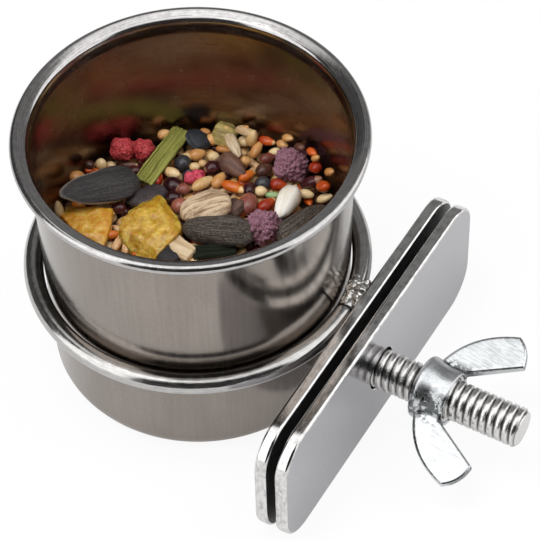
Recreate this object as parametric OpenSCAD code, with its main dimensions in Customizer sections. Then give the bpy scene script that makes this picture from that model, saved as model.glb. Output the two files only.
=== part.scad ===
// Seed cup for a cage: a drawn steel cup stands in a wire ring. The ring is welded to a
// back plate, a bolt runs outward from that plate, and a loose clamp plate slides on the
// bolt. A wing nut draws the clamp plate in, so that cage bars are held between the plates.
// The cup's axis is Z, with the table at zero, and the bolt points along +X.

/* [Cup] */
// Inside radius of the wall, just below the rim's flare
mouth_r = 23.75; // [20:0.25:30]
// Height of the cup, from the table to the top of the rim
cup_h = 47.3; // [40:0.1:60]
// Thickness of the cup's sheet
wall_t = 0.5; // [0.4:0.05:0.7]
// Radius outside the corner between the wall and the base
corner_r = 3.6; // [2:0.2:6]
// How much the wall's radius shrinks from the flare to the base
cup_taper = 0.8; // [0.2:0.1:1.5]
// How far the wall flares out below the rim
flare = 0.45; // [0.2:0.05:0.7]
// Height of that flare
flare_h = 2; // [1.4:0.1:3]
// Width of the rolled rim, along its slope
rim_w = 2.65; // [2.3:0.05:3.4]
// Thickness of the rolled rim, across its slope
rim_h = 1.6; // [1.4:0.05:2.2]
// Slope of the rolled rim, up towards its outer side
rim_slope = 25; // [0:1:35]
// Gap between the end of the rolled sheet and the wall
roll_gap = 0.3; // [0.2:0.05:0.5]

/* [Wire ring] */
// Diameter of the ring's wire
wire_d = 3.1; // [2:0.1:3.5]
// Height of the wire's centre above the table
ring_z = 19.6; // [17:0.2:20]
// Clearance between the cup's wall and the ring
ring_clear = 0.1; // [0.05:0.05:0.4]
// Gap between the two ends of the wire
butt_gap = 0.25; // [0.15:0.05:0.5]
// Distance of the wire's joint from the clamp's middle, along the plate
butt_y = 1; // [0.5:0.1:1.5]

/* [Welds] */
// Radius of the beads between the ring and the back plate
bead_r = 1.35; // [1:0.05:1.6]
// Length of those beads, without their round ends
bead_l = 3.6; // [2:0.2:6]
// Distance of those beads from the clamp's middle, along the plate
bead_y = 2.6; // [2:0.2:4]
// Radius of the tack welds at the bolt's head
tack_r = 1.1; // [0.8:0.05:1.4]

/* [Plates] */
// Length of each plate
plate_l = 59.5; // [48:0.5:80]
// Height of each plate
plate_h = 22; // [21.5:0.5:30]
// Thickness of each plate
plate_t = 2; // [1.5:0.1:3]
// Radius of the plates' corners
plate_corner_r = 6; // [3:0.5:8]
// Width of the bevel along the plates' edges
plate_bevel = 0.4; // [0.2:0.05:0.6]
// Gap between the two plates, as they stand
plate_gap = 1.4; // [1:0.1:4]
// Gap between the ring's wire and the back plate, which the weld fills
weld_gap = 0.05; // [0.03:0.01:0.1]
// Clearance around the bolt in the clamp plate's hole
hole_clear = 0.35; // [0.2:0.05:0.6]

/* [Bolt] */
// Diameter over the bolt's thread
bolt_d = 6.35; // [5:0.05:7]
// Distance from one turn of the thread to the next
thread_pitch = 1.27; // [1:0.01:1.5]
// Length of the bolt from the back plate's far face to its tip
bolt_l = 29.5; // [26:0.5:45]
// Length of the bolt's plain part beyond the back plate
plain_l = 0.6; // [0.3:0.1:1]
// Diameter of the bolt's head
head_d = 11; // [9:0.5:12]
// Thickness of the bolt's head
head_t = 2.1; // [1.5:0.1:2.5]
// Bevel at the bolt's tip and head
bolt_bevel = 0.5; // [0.3:0.05:0.8]

/* [Wing nut] */
// Distance from the clamp plate to the nut, as it stands
nut_stand = 6.9; // [3:0.1:8]
// Diameter of the nut's foot
nut_foot_d = 10; // [9.5:0.1:12]
// Diameter of the nut's outer end
nut_end_d = 8.8; // [8.6:0.1:9.4]
// Height of the nut's hub
hub_h = 5.6; // [4.5:0.1:7]
// Height of the foot's edge
foot_h = 0.9; // [0.5:0.1:1.2]
// Height of the whole nut, with its wings
nut_h = 13.1; // [11:0.1:15]
// Distance across both wings
wing_span = 27; // [22:0.5:32]
// Thickness of the wings
wing_t = 1.2; // [0.8:0.1:1.6]
// Angle of the wings from level
wing_turn = 15; // [0:1:30]
// Thickness of the nut's threaded core
core_t = 0.6; // [0.4:0.05:0.65]
// Running clearance inside and outside the threaded core
run_clear = 0.05; // [0.03:0.01:0.08]
// How far the threaded core lies inside the hub's two ends
core_inset = 0.25; // [0.1:0.05:0.4]

/* [Hidden] */
$fn = 96;

// Cuts run past what they cut by this much
overrun = 1;

// The rolled rim's round ends lie this far from its middle, up and down its slope
rim_half_l = (rim_w - rim_h) / 2;
lip_r = mouth_r + flare;
rim_r = lip_r + rim_h / 2 + rim_half_l * cos(rim_slope);
rim_z = cup_h - rim_h / 2 - rim_half_l * sin(rim_slope);
lip_z = rim_z - rim_half_l * sin(rim_slope);
flare_z = lip_z - flare_h;

// The cup's wall follows a straight line from the base to the flare
wall_top_r = mouth_r + wall_t;
base_r = wall_top_r - cup_taper;
function wall_r(z) = base_r + cup_taper * z / flare_z;

// The ring fits the cup's wall at the ring's height
ring_r = wall_r(ring_z + wire_d / 2) + ring_clear + wire_d / 2;
butt_turn = asin(butt_y / ring_r);
butt_half_turn = asin(butt_gap / 2 / ring_r);

// How far up the wire's side the middle of a ring weld's bead lies, as a share of the wire's radius
bead_rise_share = 0.75;

// Faces of the plates, the nut and the bolt's tip along the bolt
back_x = ring_r + wire_d / 2 + weld_gap;
back_front_x = back_x + plate_t;
clamp_x = back_front_x + plate_gap;
clamp_front_x = clamp_x + plate_t;
nut_x = clamp_front_x + nut_stand;
bolt_z = plate_h / 2;
bolt_r = bolt_d / 2;

// A sixty degree thread with a flat crest and a flat root, as shares of its pitch
thread_depth_share = 0.5413;
crest_share = 0.125;
root_share = 0.25;
thread_root_r = bolt_r - thread_pitch * thread_depth_share;
flank_l = thread_pitch * (1 - crest_share - root_share) / 2;
thread_start = plate_t + plain_l;
turns = floor((bolt_l - thread_start) / thread_pitch);

// Radii inside the nut
core_bore_r = bolt_r + run_clear;
core_r = core_bore_r + core_t;
nut_bore_r = core_r + run_clear;
wing_root_r = (nut_bore_r + nut_end_d / 2) / 2;

// Where a wing's corners and bows lie, as shares of the nut's height and the half span
wing_back_tip_share = 0.78;
wing_front_tip_share = 0.66;
wing_back_bow_shares = [0.22, 0.82];
wing_tip_bow_shares = [0.97, 0.9];
bow_steps = 10;

// Points along a bowed edge from a to c, drawn towards b
function bow(a, b, c) = [
    for (i = [0:bow_steps])
        let (t = i / bow_steps, s = 1 - t)
            s * s * a + 2 * s * t * b + t * t * c
];

// Turns what is built along Z to lie along the bolt, from the given place outward
module along_bolt(x) {
    translate([x, 0, bolt_z])
        rotate([0, 90, 0])
            children();
}

// An outline with round ends, as wide and as high as given
module oval(w, h) {
    for (side = [-1, 1])
        translate([side * (w - h) / 2, 0])
            circle(d = h);
    square([w - h, h], center = true);
}

// The flare in section, from the inside of the wall as far outward as given
module flare_section(w) {
    polygon([
        [mouth_r, flare_z],
        [mouth_r + w, flare_z],
        [lip_r + w, lip_z],
        [lip_r, lip_z]
    ]);
}

// The sheet at the rim, rolled outward and under, with its end clear of the flare
module rim_roll() {
    difference() {
        translate([rim_r, rim_z])
            rotate(rim_slope)
                difference() {
                    oval(rim_w, rim_h);
                    oval(rim_w - 2 * wall_t, rim_h - 2 * wall_t);
                }
        flare_section(wall_t + roll_gap);
    }
}

// The cup's sheet in section, from the axis outward
module cup_section() {
    rim_roll();
    flare_section(wall_t);
    polygon([
        [base_r - wall_t, corner_r],
        [base_r, corner_r],
        [wall_top_r, flare_z],
        [mouth_r, flare_z]
    ]);
    translate([base_r - corner_r, corner_r])
        intersection() {
            difference() {
                circle(corner_r);
                circle(corner_r - wall_t);
            }
            translate([0, -corner_r])
                square(corner_r);
        }
    square([base_r - corner_r, wall_t]);
}

// The drawn cup, which lifts up out of the ring
module cup() {
    color("lightgray")
        rotate_extrude()
            cup_section();
}

// The ring's round wire as a full circle, as wide as given
module wire_loop(d) {
    translate([0, 0, ring_z])
        rotate_extrude()
            translate([ring_r, 0])
                circle(d = d, $fn = 48);
}

// The ring, bent from one wire whose ends meet beside the clamp
module wire_ring() {
    color("silver")
        translate([0, 0, ring_z])
            rotate([0, 0, butt_turn + butt_half_turn])
                rotate_extrude(angle = 360 - 2 * butt_half_turn)
                    translate([ring_r, 0])
                        circle(d = wire_d, $fn = 48);
}

// One bead along the plate's back, above or below the wire
module ring_bead(side) {
    difference() {
        translate([back_x - bead_r / 2, bead_y, ring_z + side * wire_d / 2 * bead_rise_share])
            rotate([-90, 0, 0]) {
                cylinder(r = bead_r, h = bead_l, $fn = 32);
                sphere(r = bead_r, $fn = 32);
                translate([0, 0, bead_l])
                    sphere(r = bead_r, $fn = 32);
            }
        wire_loop(wire_d);
        translate([back_x, 0, 0])
            cube([plate_t, plate_l, plate_h]);
    }
}
// The two weld beads that hold the ring on the back plate
module ring_welds() {
    color("darkgray")
        for (side = [-1, 1])
            ring_bead(side);
}

// The bevelled edge of a plate in section, reaching out to the given distance
function edge_points(reach) = [
    [0, 0],
    [reach - plate_bevel, 0],
    [reach, plate_bevel],
    [reach, plate_t - plate_bevel],
    [reach - plate_bevel, plate_t],
    [0, plate_t]
];

// One straight run of a plate, with bevels on its two long edges
module plate_run(reach, length) {
    rotate([90, 0, 0])
        linear_extrude(length, center = true) {
            polygon(edge_points(reach));
            mirror([1, 0])
                polygon(edge_points(reach));
        }
}

// A plate with round corners and bevelled edges, its back face at the given place
module plate(x) {
    along_bolt(x) {
        plate_run(plate_h / 2, plate_l - 2 * plate_corner_r);
        rotate([0, 0, 90])
            plate_run(plate_l / 2, plate_h - 2 * plate_corner_r);
        for (u = [-1, 1], v = [-1, 1])
            translate([u * (plate_h / 2 - plate_corner_r), v * (plate_l / 2 - plate_corner_r), 0])
                rotate_extrude()
                    polygon(edge_points(plate_corner_r));
    }
}

// The fixed plate, welded to the ring
module back_plate() {
    color("gainsboro")
        difference() {
            plate(back_x);
            along_bolt(back_x - overrun)
                cylinder(r = bolt_r + run_clear, h = plate_t + 2 * overrun);
        }
}

// The loose plate, which slides along the bolt
module clamp_plate() {
    color("gainsboro")
        difference() {
            plate(clamp_x);
            along_bolt(clamp_x - overrun)
                cylinder(r = bolt_r + hole_clear, h = plate_t + 2 * overrun);
        }
}

// Grooves and crests along the thread, as radius and height
function thread_points() = [
    for (i = [0:turns - 1])
        let (z = thread_start + i * thread_pitch)
            each [
                [thread_root_r, z],
                [thread_root_r, z + thread_pitch * root_share],
                [bolt_r, z + thread_pitch * root_share + flank_l],
                [bolt_r, z + thread_pitch * (root_share + crest_share) + flank_l]
            ]
];

// The bolt with its low head behind the back plate
module clamp_bolt() {
    color("silver")
        along_bolt(back_x)
            rotate_extrude()
                polygon(concat(
                    [
                        [0, -head_t],
                        [head_d / 2 - bolt_bevel, -head_t],
                        [head_d / 2, bolt_bevel - head_t],
                        [head_d / 2, 0],
                        [bolt_r, 0],
                        [bolt_r, thread_start - flank_l]
                    ],
                    thread_points(),
                    [
                        [thread_root_r, bolt_l - bolt_bevel],
                        [thread_root_r - bolt_bevel / 2, bolt_l],
                        [0, bolt_l]
                    ]
                ));
}

// The tack welds between the bolt's head and the back plate
module bolt_welds() {
    color("darkgray")
        for (side = [-1, 1])
            difference() {
                translate([back_x, side * head_d / 2, bolt_z])
                    sphere(r = tack_r, $fn = 32);
                along_bolt(back_x - head_t)
                    cylinder(d = head_d, h = head_t);
                translate([back_x, -plate_l / 2, 0])
                    cube([plate_t, plate_l, plate_h]);
            }
}

// The nut's threaded core, which travels along the bolt as the nut turns
module nut_thread() {
    color("gray")
        along_bolt(nut_x + core_inset)
            difference() {
                cylinder(r = core_r, h = hub_h - 2 * core_inset);
                translate([0, 0, -overrun])
                    cylinder(r = core_bore_r, h = hub_h + 2 * overrun);
            }
}

// The nut's hub in section, with its wider foot towards the plate
module hub_section() {
    polygon([
        [nut_bore_r, 0],
        [nut_foot_d / 2 - foot_h / 2, 0],
        [nut_foot_d / 2, foot_h / 2],
        [nut_foot_d / 2, foot_h],
        [nut_end_d / 2, hub_h / 2],
        [nut_end_d / 2, hub_h],
        [nut_bore_r, hub_h]
    ]);
}

// One wing's outline, as distance from the axis and height above the foot
module wing_outline() {
    back_root = [wing_root_r, foot_h];
    front_root = [wing_root_r, hub_h - foot_h / 2];
    back_tip = [wing_span / 2, nut_h * wing_back_tip_share];
    front_tip = [wing_span / 2 * wing_front_tip_share, nut_h];
    back_bow = [wing_span / 2 * wing_back_bow_shares[1], nut_h * wing_back_bow_shares[0]];
    tip_bow = [wing_span / 2 * wing_tip_bow_shares[1], nut_h * wing_tip_bow_shares[0]];
    polygon(concat(
        bow(back_root, back_bow, back_tip),
        bow(back_tip, tip_bow, front_tip),
        [front_root]
    ));
}

// The wing nut, which turns on its threaded core
module wing_nut() {
    color("whitesmoke")
        along_bolt(nut_x) {
            rotate_extrude()
                hub_section();
            for (side = [0, 180])
                rotate([0, 0, 90 + wing_turn + side])
                    rotate([90, 0, 0])
                        linear_extrude(wing_t, center = true)
                            wing_outline();
        }
}

cup();
wire_ring();
ring_welds();
back_plate();
clamp_bolt();
bolt_welds();
clamp_plate();
nut_thread();
wing_nut();
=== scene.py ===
"""Dresses the steel seed cup with its ring, clamp and seed mix, and sets up the studio around it."""

import math
import random

import bmesh
import bpy
from mathutils import Matrix, Vector, noise


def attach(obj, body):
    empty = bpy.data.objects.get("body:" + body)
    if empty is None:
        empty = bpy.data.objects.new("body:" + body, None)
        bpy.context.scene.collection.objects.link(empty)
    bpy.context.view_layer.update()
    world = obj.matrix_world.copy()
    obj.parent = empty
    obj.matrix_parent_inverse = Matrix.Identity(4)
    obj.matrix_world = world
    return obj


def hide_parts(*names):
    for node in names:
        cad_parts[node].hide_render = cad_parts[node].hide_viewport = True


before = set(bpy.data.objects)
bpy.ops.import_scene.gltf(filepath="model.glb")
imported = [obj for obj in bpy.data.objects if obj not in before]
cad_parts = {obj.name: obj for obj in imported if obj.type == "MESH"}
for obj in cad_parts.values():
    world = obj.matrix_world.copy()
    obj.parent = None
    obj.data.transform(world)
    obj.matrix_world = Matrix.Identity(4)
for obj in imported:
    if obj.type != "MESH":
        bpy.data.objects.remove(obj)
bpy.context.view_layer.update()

# Lengths are in millimetres until a piece is finished, which then goes to metres
MM = 0.001

# Cup
MOUTH_R = 23.75
CUP_H = 47.3
WALL = 0.5
CORNER_R = 3.6
TAPER = 0.8
FLARE = 0.45
FLARE_H = 2.0
RIM_W = 2.65
RIM_H = 1.6
RIM_SLOPE = 25
RIM_HALF_L = (RIM_W - RIM_H) / 2
LIP_R = MOUTH_R + FLARE
RIM_Z = CUP_H - RIM_H / 2 - RIM_HALF_L * math.sin(math.radians(RIM_SLOPE))
LIP_Z = RIM_Z - RIM_HALF_L * math.sin(math.radians(RIM_SLOPE))
FLARE_Z = LIP_Z - FLARE_H
BASE_R = MOUTH_R + WALL - TAPER
ROLL_END = -98
POLISH_START = 0.5
CUP_STEPS = 192

# Wire ring and its weld
WIRE_R = 1.55
WIRE_SIDES = 32
WIRE_END_BEVEL = 0.18
RING_Z = 19.6
RING_R = 25.4841
RING_STEPS = 200
BUTT_GAP = 0.25
BUTT_Y = 1.0
WELD_START = 1.6
WELD_END = 7.4
WELD_INSET = 0.9
WELD_LUMPS = 11
WELD_CLEAR_R = 24.2
WELD_VOXEL = 0.12

# How far each weld reaches into the back plate
WELD_SUNK = 0.02

# Plates
PLATE_L = 59.5
PLATE_H = 22.0
PLATE_T = 2.0
PLATE_CORNER = 6.0
PLATE_CORNER_STEPS = 14
PLATE_BEVEL = 0.4
BEVEL_MARGIN = 0.05
BACK_X = 27.0841
CLAMP_X = 30.4841
BORE_R = 3.225
HOLE_R = 3.525
HOLE_MARGIN = 0.5
HOLE_BEVEL = 0.15

# Bolt, with its axis along X
BOLT_Z = PLATE_H / 2
BOLT_R = 3.175
THREAD_ROOT_R = 2.72
PITCH = 1.27
HEAD_R = 5.5
HEAD_T = 2.1
HEAD_ROUND = 0.45
PLAIN_END = 29.7
TIP_X = 56.5841
TIP_ROOT_R = THREAD_ROOT_R - 0.1
TIP_SLOPE = 1.1
TIP_BEVEL = 0.15
THREAD_LEAD = 0.3
SHANK_OVERLAP = 0.05
CREST_MARGIN = 0.2
DENT_SIZE = 0.55
DENT_DEPTH = 0.1
TURN_STEPS = 40
BOLT_SIDES = 64

# One turn of the thread: place in eighths of the pitch, and radius
THREAD = [
    (0, THREAD_ROOT_R), (0.4, THREAD_ROOT_R), (2.0, BOLT_R - 0.06), (2.6, BOLT_R),
    (4.3, BOLT_R - 0.05), (6.0, BOLT_R), (6.6, BOLT_R - 0.06), (8, THREAD_ROOT_R),
]

# The bolt's tack welds: how far each lump lies from the middle, and its radius
TACK_LUMPS = [(0.0, 1.0), (0.7, 0.8), (-0.7, 0.75)]
TACK_VOXEL = 0.1

# Wing nut
NUT_X = 39.3841
CORE_BORE_R = 3.225
CORE_R = 3.825
CORE_INSET = 0.25
CORE_CHAMFER = 0.3
GROOVE_START = 0.5
GROOVE_DEPTH = 0.35
NUT_BORE_R = 3.875
NUT_VOXEL = 0.11
FOOT_R = 5.0
FOOT_ROUND = 0.3
END_R = 4.4
HUB_H = 5.6
HUB_SIDES = 96
FOOT_H = 0.9
NUT_H = 13.1
HALF_SPAN = 13.5
WING_T = 1.2
WING_TURN = 15
WING_SWELL = 0.9
WING_ROUND = 0.42
WING_SMOOTHING = 6

# A wing's outline in shares of the nut's height and half span: where its back is drawn to, and where
# its tip starts, is drawn to and ends
BACK_PULL = (0.22, 0.82)
TIP_START = (0.78, 1.0)
TIP_PULL = (0.97, 0.9)
TIP_END = (1.0, 0.66)

# Which faces of a wing get its edge's painted shade: how steep they are at the front, at the lower wing's back
# and at the upper wing's, the most that they face along the wing, and where they start
FRONT_STEEPNESS = 0.6
LOWER_STEEPNESS = 0.93
UPPER_STEEPNESS = 0.3
EDGE_LIMIT = 0.75
EDGE_START = END_R + 1.2

# Camera, fitted to the photograph
IMAGE_SIDE = 540
FOCAL_PX = 2600
CAMERA_PLACE = Vector((145.8843, -219.1689, 325.5485))
CAMERA_DOWN = math.radians(49.7122)
CAMERA_YAW = math.radians(-31.2322)
CAMERA_ROLL = math.radians(-1.7909)

# Seed bed, and the outline of the mass below the seeds in view as radius and height
BED_R = 23.0
BED_Z = 22.2
BED_MOUND = 1.2
BED_SECTION = [(0, WALL + 0.1), (19.2, WALL + 0.1), (21.5, 2.0), (22.7, 4.0), (BED_R, 20.0)]
MASS_DEPTH = 1.2
MASS_TOP_Z = 20.5
MASS_STEPS = 72

# What a pixel of the photograph takes at the seeds
MM_PER_PX = 1 / 6.5

# Rows of the photograph from which the rim's front hides small seeds and the larger ones
RIM_FRONT_Y = 262
RIM_COVER_Y = 292

# Small seeds that the photograph shows: kind, pixel, length and width in pixels, and direction
SMALL_SEEDS = [
    ("red_millet", 267, 141, 18, 12, -15), ("tan_millet", 282.6, 144.3, 13, 10, -20),
    ("cream_millet", 244.5, 141.4, 14, 13, 0), ("tan_millet", 257, 149, 20, 12, 60),
    ("tan_millet", 197.6, 154.5, 17, 15, 20), ("cream_millet", 213.3, 156.5, 13, 12, 0),
    ("cream_millet", 202.5, 163.5, 9, 9, 0), ("cream_millet", 194.7, 166.8, 11, 10, 0),
    ("maroon_sorghum", 212.3, 167.8, 17, 16, 200), ("tan_millet", 245.5, 161, 12, 12, 0),
    ("orange_seeds", 247.4, 175.6, 18, 12, 25), ("brown_vetch", 264, 170.3, 17, 16, 30),
    ("red_millet", 314.8, 167.2, 16, 15, 160), ("maroon_sorghum", 311, 182, 24, 13, 20),
    ("red_millet", 322.6, 186.3, 22, 15, 170), ("red_millet", 279.1, 184.8, 19, 15, -10),
    ("dark_blue_seeds", 263, 183.4, 17, 15, 0), ("cream_millet", 261, 191.2, 13, 12, 0),
    ("maroon_sorghum", 249.4, 189.3, 15, 14, 90), ("tan_millet", 219, 180, 20, 14, 55),
    ("cream_millet", 202.5, 183.4, 24, 13, 30), ("orange_seeds", 233.8, 187.3, 26, 13, -20),
    ("cream_millet", 172.2, 172.7, 17, 12, -20), ("red_millet", 157.6, 178.5, 18, 13, 70),
    ("maroon_sorghum", 173.2, 185.4, 19, 18, -30), ("red_millet", 238.6, 211.7, 19, 13, 15),
    ("red_millet", 267, 204.3, 20, 15, 35), ("rosy_seeds", 248.4, 204, 24, 21, 80),
    ("green_bits", 272.8, 195.1, 15, 8, 0), ("tan_millet", 163.5, 134, 13, 12, 30),
    ("tan_millet", 77.5, 176.6, 19, 16, 20), ("red_millet", 92, 170.7, 17, 10, 0),
    ("cream_millet", 101, 164, 11, 13, 90), ("cream_millet", 110.7, 165, 10, 9, 0),
    ("brown_vetch", 128.3, 165, 20, 9, 0), ("maroon_sorghum", 173.2, 198, 18, 16, 0),
    ("maroon_sorghum", 118.5, 207.8, 15, 13, 0), ("cream_millet", 306, 194, 17, 11, -10),
    ("cream_millet", 324.6, 198, 17, 10, 20), ("tan_millet", 108, 213.7, 14, 11, 0),
    ("orange_seeds", 112.7, 234.6, 17, 10, 10), ("oat_groats", 118.5, 242, 22, 10, 60),
    ("oat_groats", 127, 245, 20, 10, 75), ("orange_seeds", 138, 254.5, 13, 8, 0),
    ("cream_millet", 59, 209.8, 20, 10, 100), ("rosy_seeds", 183, 189, 14, 13, 0),
    ("rosy_seeds", 180, 206, 16, 18, 60), ("cream_millet", 243, 153.5, 8, 8, 0),
    ("tan_millet", 212, 139, 13, 15, 60), ("cream_millet", 275, 152, 14, 10, 20),
    ("tan_millet", 223.5, 149.5, 16, 9, -10), ("orange_seeds", 187, 258.5, 11, 8, 0),
    ("maroon_sorghum", 135, 171, 15, 12, 0), ("tan_millet", 156, 166, 12, 12, 0),
    ("dark_blue_seeds", 183, 163, 16, 17, 60), ("cream_millet", 187, 157, 9, 11, 60),
    ("rosy_seeds", 268, 158, 17, 12, 20), ("red_millet", 150, 170, 13, 11, 30),
    ("tan_millet", 295, 152, 12, 10, 0), ("brown_vetch", 90, 165, 12, 11, 0),
    ("tan_millet", 330, 172, 13, 11, 0), ("tan_millet", 316, 158, 12, 10, 10),
    ("cream_millet", 148, 151, 11, 10, 0), ("brown_vetch", 176, 148, 12, 11, 0),
    ("oat_groats", 104, 236, 17, 9, 80), ("tan_millet", 132, 232, 13, 11, 0),
    ("cream_millet", 252, 138, 18, 14, 70), ("tan_millet", 243, 129, 15, 10, 20),
    ("tan_millet", 222, 129, 14, 9, 10), ("cream_millet", 232, 146, 13, 11, 0),
    ("tan_millet", 288, 138, 13, 10, -10), ("brown_vetch", 300, 147, 13, 10, -20),
    ("tan_millet", 205, 132, 12, 10, 0), ("red_millet", 312, 152, 13, 10, -30),
]

# Small seeds that fill the bed: share of each kind, distance between them, height of each layer, and
# the share that the upper layer leaves out
FILL_SHARES = {
    "cream_millet": 0.30, "tan_millet": 0.24, "red_millet": 0.16, "oat_groats": 0.10,
    "maroon_sorghum": 0.07, "brown_vetch": 0.06, "orange_seeds": 0.05, "dark_blue_seeds": 0.02,
}
FILL_STEP = 1.75
FILL_LAYERS = (-0.9, 0.3)
FILL_GAPS = 0.45

# Larger dark seeds at the front: how many places are tried, and their length, width and thickness
FRONT_SEEDS = 26
FRONT_SIZE = (9.5, 4.6, 2.6)

# Detail of the flat pieces of fruit and hull
CHUNK_VOXEL = 0.2

# Candied fruit lets some light in
CLEAR = {"Subsurface Weight": 0.5, "Subsurface Scale": 0.002}

# Studio: light of the room, whiteness of the table to the camera and to gloss, and the screens' distance
# in metres
WHITE = (1.0, 1.0, 1.0)
ROOM_LIGHT = 0.5
FLOOR_WHITE = 0.92
FLOOR_MIRRORED = 0.5
MIRRORED_WHITE = 0.7
FLOOR_R = 1.5
FLOOR_DROP = 0.0001
STUDIO_R = 0.7

# Screens that the metal mirrors: name, azimuths, elevations and brightness
SCREENS = [
    ("left_softbox", (-146, -98), (0, 74), 1.7),
    ("front_dark", (-98, -6), (0, 60), 0.04),
    ("right_softbox", (-6, 60), (3, 70), 1.5),
    ("rear_grey", (60, 150), (0, 64), 0.2),
    ("left_dark", (150, 214), (0, 56), 0.07),
    ("ceiling", (0, 360), (70, 90), 1.3),
]

# Lamps: name, azimuth, elevation, side, power, and whether the metal and the seeds mirror it
LAMPS = [
    ("right_lamp", 30, 52, 0.4, 1.2, False),
    ("left_lamp", -122, 55, 0.4, 2.0, False),
    ("top_lamp", -122, 79, 0.24, 1.6, True),
]


class Value:
    """A shader socket that takes part in Python expressions."""

    def __init__(self, sheet, socket):
        self.sheet = sheet
        self.socket = socket

    def math(self, operation, *values):
        return self.sheet.add("ShaderNodeMath", {"operation": operation}, dict(enumerate(values)))

    def __add__(self, other):
        return self.math("ADD", self, other)

    def __sub__(self, other):
        return self.math("SUBTRACT", self, other)

    def __rsub__(self, other):
        return self.math("SUBTRACT", other, self)

    def __mul__(self, other):
        return self.math("MULTIPLY", self, other)

    def __truediv__(self, other):
        return self.math("DIVIDE", self, other)

    def __pow__(self, other):
        return self.math("POWER", self, other)

    def __abs__(self):
        return self.math("ABSOLUTE", self)

    __radd__ = __add__
    __rmul__ = __mul__

    def span(self, low, high, start=0.0, end=1.0):
        """Goes smoothly from start to end while this value goes from low to high."""
        settings = {"interpolation_type": "SMOOTHSTEP"}
        inputs = {"Value": self, "From Min": low, "From Max": high, "To Min": start, "To Max": end}
        return self.sheet.add("ShaderNodeMapRange", settings, inputs)

    def ramp(self, *stops):
        """The colours of a ramp, each with its place."""
        return self.sheet.add("ShaderNodeValToRGB", {"stops": stops}, {"Fac": self})


def set_stops(ramp, stops):
    """Gives a ramp its colours, each with its place."""
    while len(ramp.elements) > 1:
        ramp.elements.remove(ramp.elements[-1])
    for number, (place, colour) in enumerate(stops):
        element = ramp.elements.new(place) if number else ramp.elements[0]
        element.position = place
        element.color = (*colour, 1.0)


class Sheet:
    """A node tree that is filled one call at a time."""

    def __init__(self, tree, output):
        self.tree = tree
        self.tree.nodes.clear()
        self.output = self.tree.nodes.new(output)

    def add(self, kind, settings=None, inputs=None, out=0):
        """Adds a node, sets it up, feeds its sockets, and returns one of its outputs."""
        node = self.tree.nodes.new(kind)
        for name, setting in (settings or {}).items():
            if name == "stops":
                set_stops(node.color_ramp, setting)
            else:
                setattr(node, name, setting)
        for name, value in (inputs or {}).items():
            self.feed(node.inputs[name], value)
        return Value(self, node.outputs[out])

    def feed(self, socket, value):
        if isinstance(value, Value):
            self.tree.links.new(value.socket, socket)
        elif isinstance(value, tuple) and len(value) == 3 and socket.type == "RGBA":
            socket.default_value = (*value, 1.0)
        else:
            socket.default_value = value

    def place(self, size=1.0, turn=(0.0, 0.0, 0.0), own=False):
        """Object coordinates, or a seed's own, in units of one size or three in millimetres."""
        sizes = size if isinstance(size, tuple) else (size, size, size)
        if own:
            source = self.add("ShaderNodeAttribute", {"attribute_name": "own"}, out="Vector")
            scale = tuple(1 / side for side in sizes)
        else:
            source = self.add("ShaderNodeTexCoord", out="Object")
            scale = tuple(1 / (side * MM) for side in sizes)
        point = {"vector_type": "POINT"}
        turned = self.add("ShaderNodeMapping", point, {"Vector": source, "Rotation": turn})
        return self.add("ShaderNodeMapping", point, {"Vector": turned, "Scale": scale})

    def tone(self):
        """The number that each seed of a kind has for itself."""
        return self.add("ShaderNodeAttribute", {"attribute_name": "tone"}, out="Fac")

    def grain(self, size, detail=2.0, roughness=0.5, **where):
        """Noise as broad as one size or three in millimetres, or as one unit of a place."""
        place = size if isinstance(size, Value) else self.place(size, **where)
        inputs = {"Vector": place, "Scale": 1.0, "Detail": detail, "Roughness": roughness}
        return self.add("ShaderNodeTexNoise", None, inputs)

    def around(self, size):
        """A place whose noise runs in fine lines around the cup's axis, which wander slightly."""
        across, back, up = self.parts(self.place())
        radius = (across ** 2.0 + back ** 2.0) ** 0.5
        drift = self.grain(7.0) * 4.0
        return self.add("ShaderNodeCombineXYZ", None, {"X": radius / size, "Y": up / size, "Z": drift})

    def cells(self, place, feature="F1"):
        return self.add("ShaderNodeTexVoronoi", {"feature": feature}, {"Vector": place, "Scale": 1.0})

    def mix(self, factor, first, second):
        """Colours from the first to the second."""
        inputs = {0: factor, 6: first, 7: second}
        return self.add("ShaderNodeMix", {"data_type": "RGBA"}, inputs, out=2)

    def parts(self, place):
        """The three numbers of a place."""
        split = self.add("ShaderNodeSeparateXYZ", None, {"Vector": place})
        outputs = split.socket.node.outputs
        return [Value(self, outputs[axis]) for axis in "XYZ"]

    def end(self, shader):
        """Feeds the surface of the material or the world."""
        self.feed(self.output.inputs["Surface"], shader)


def new_material(name):
    """A material without nodes, and the sheet that fills it."""
    material = bpy.data.materials.new(name)
    material.use_nodes = True
    return material, Sheet(material.node_tree, "ShaderNodeOutputMaterial")


def finish(name, paint, constants):
    """A material whose varying sockets come from paint, and whose constant ones are given."""
    material, sheet = new_material(name)
    looks = paint(sheet)
    bump = {"Height": looks.pop("height"), "Distance": looks.pop("depth") * MM, "Strength": 1.0}
    looks["Normal"] = sheet.add("ShaderNodeBump", None, bump)
    sheet.end(sheet.add("ShaderNodeBsdfPrincipled", None, {**constants, **looks}))
    return material


def metal(paint):
    """A metal finish with the name of its paint."""
    return finish(paint.__name__, paint, {"Metallic": 1.0})


# Metal finishes

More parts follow.
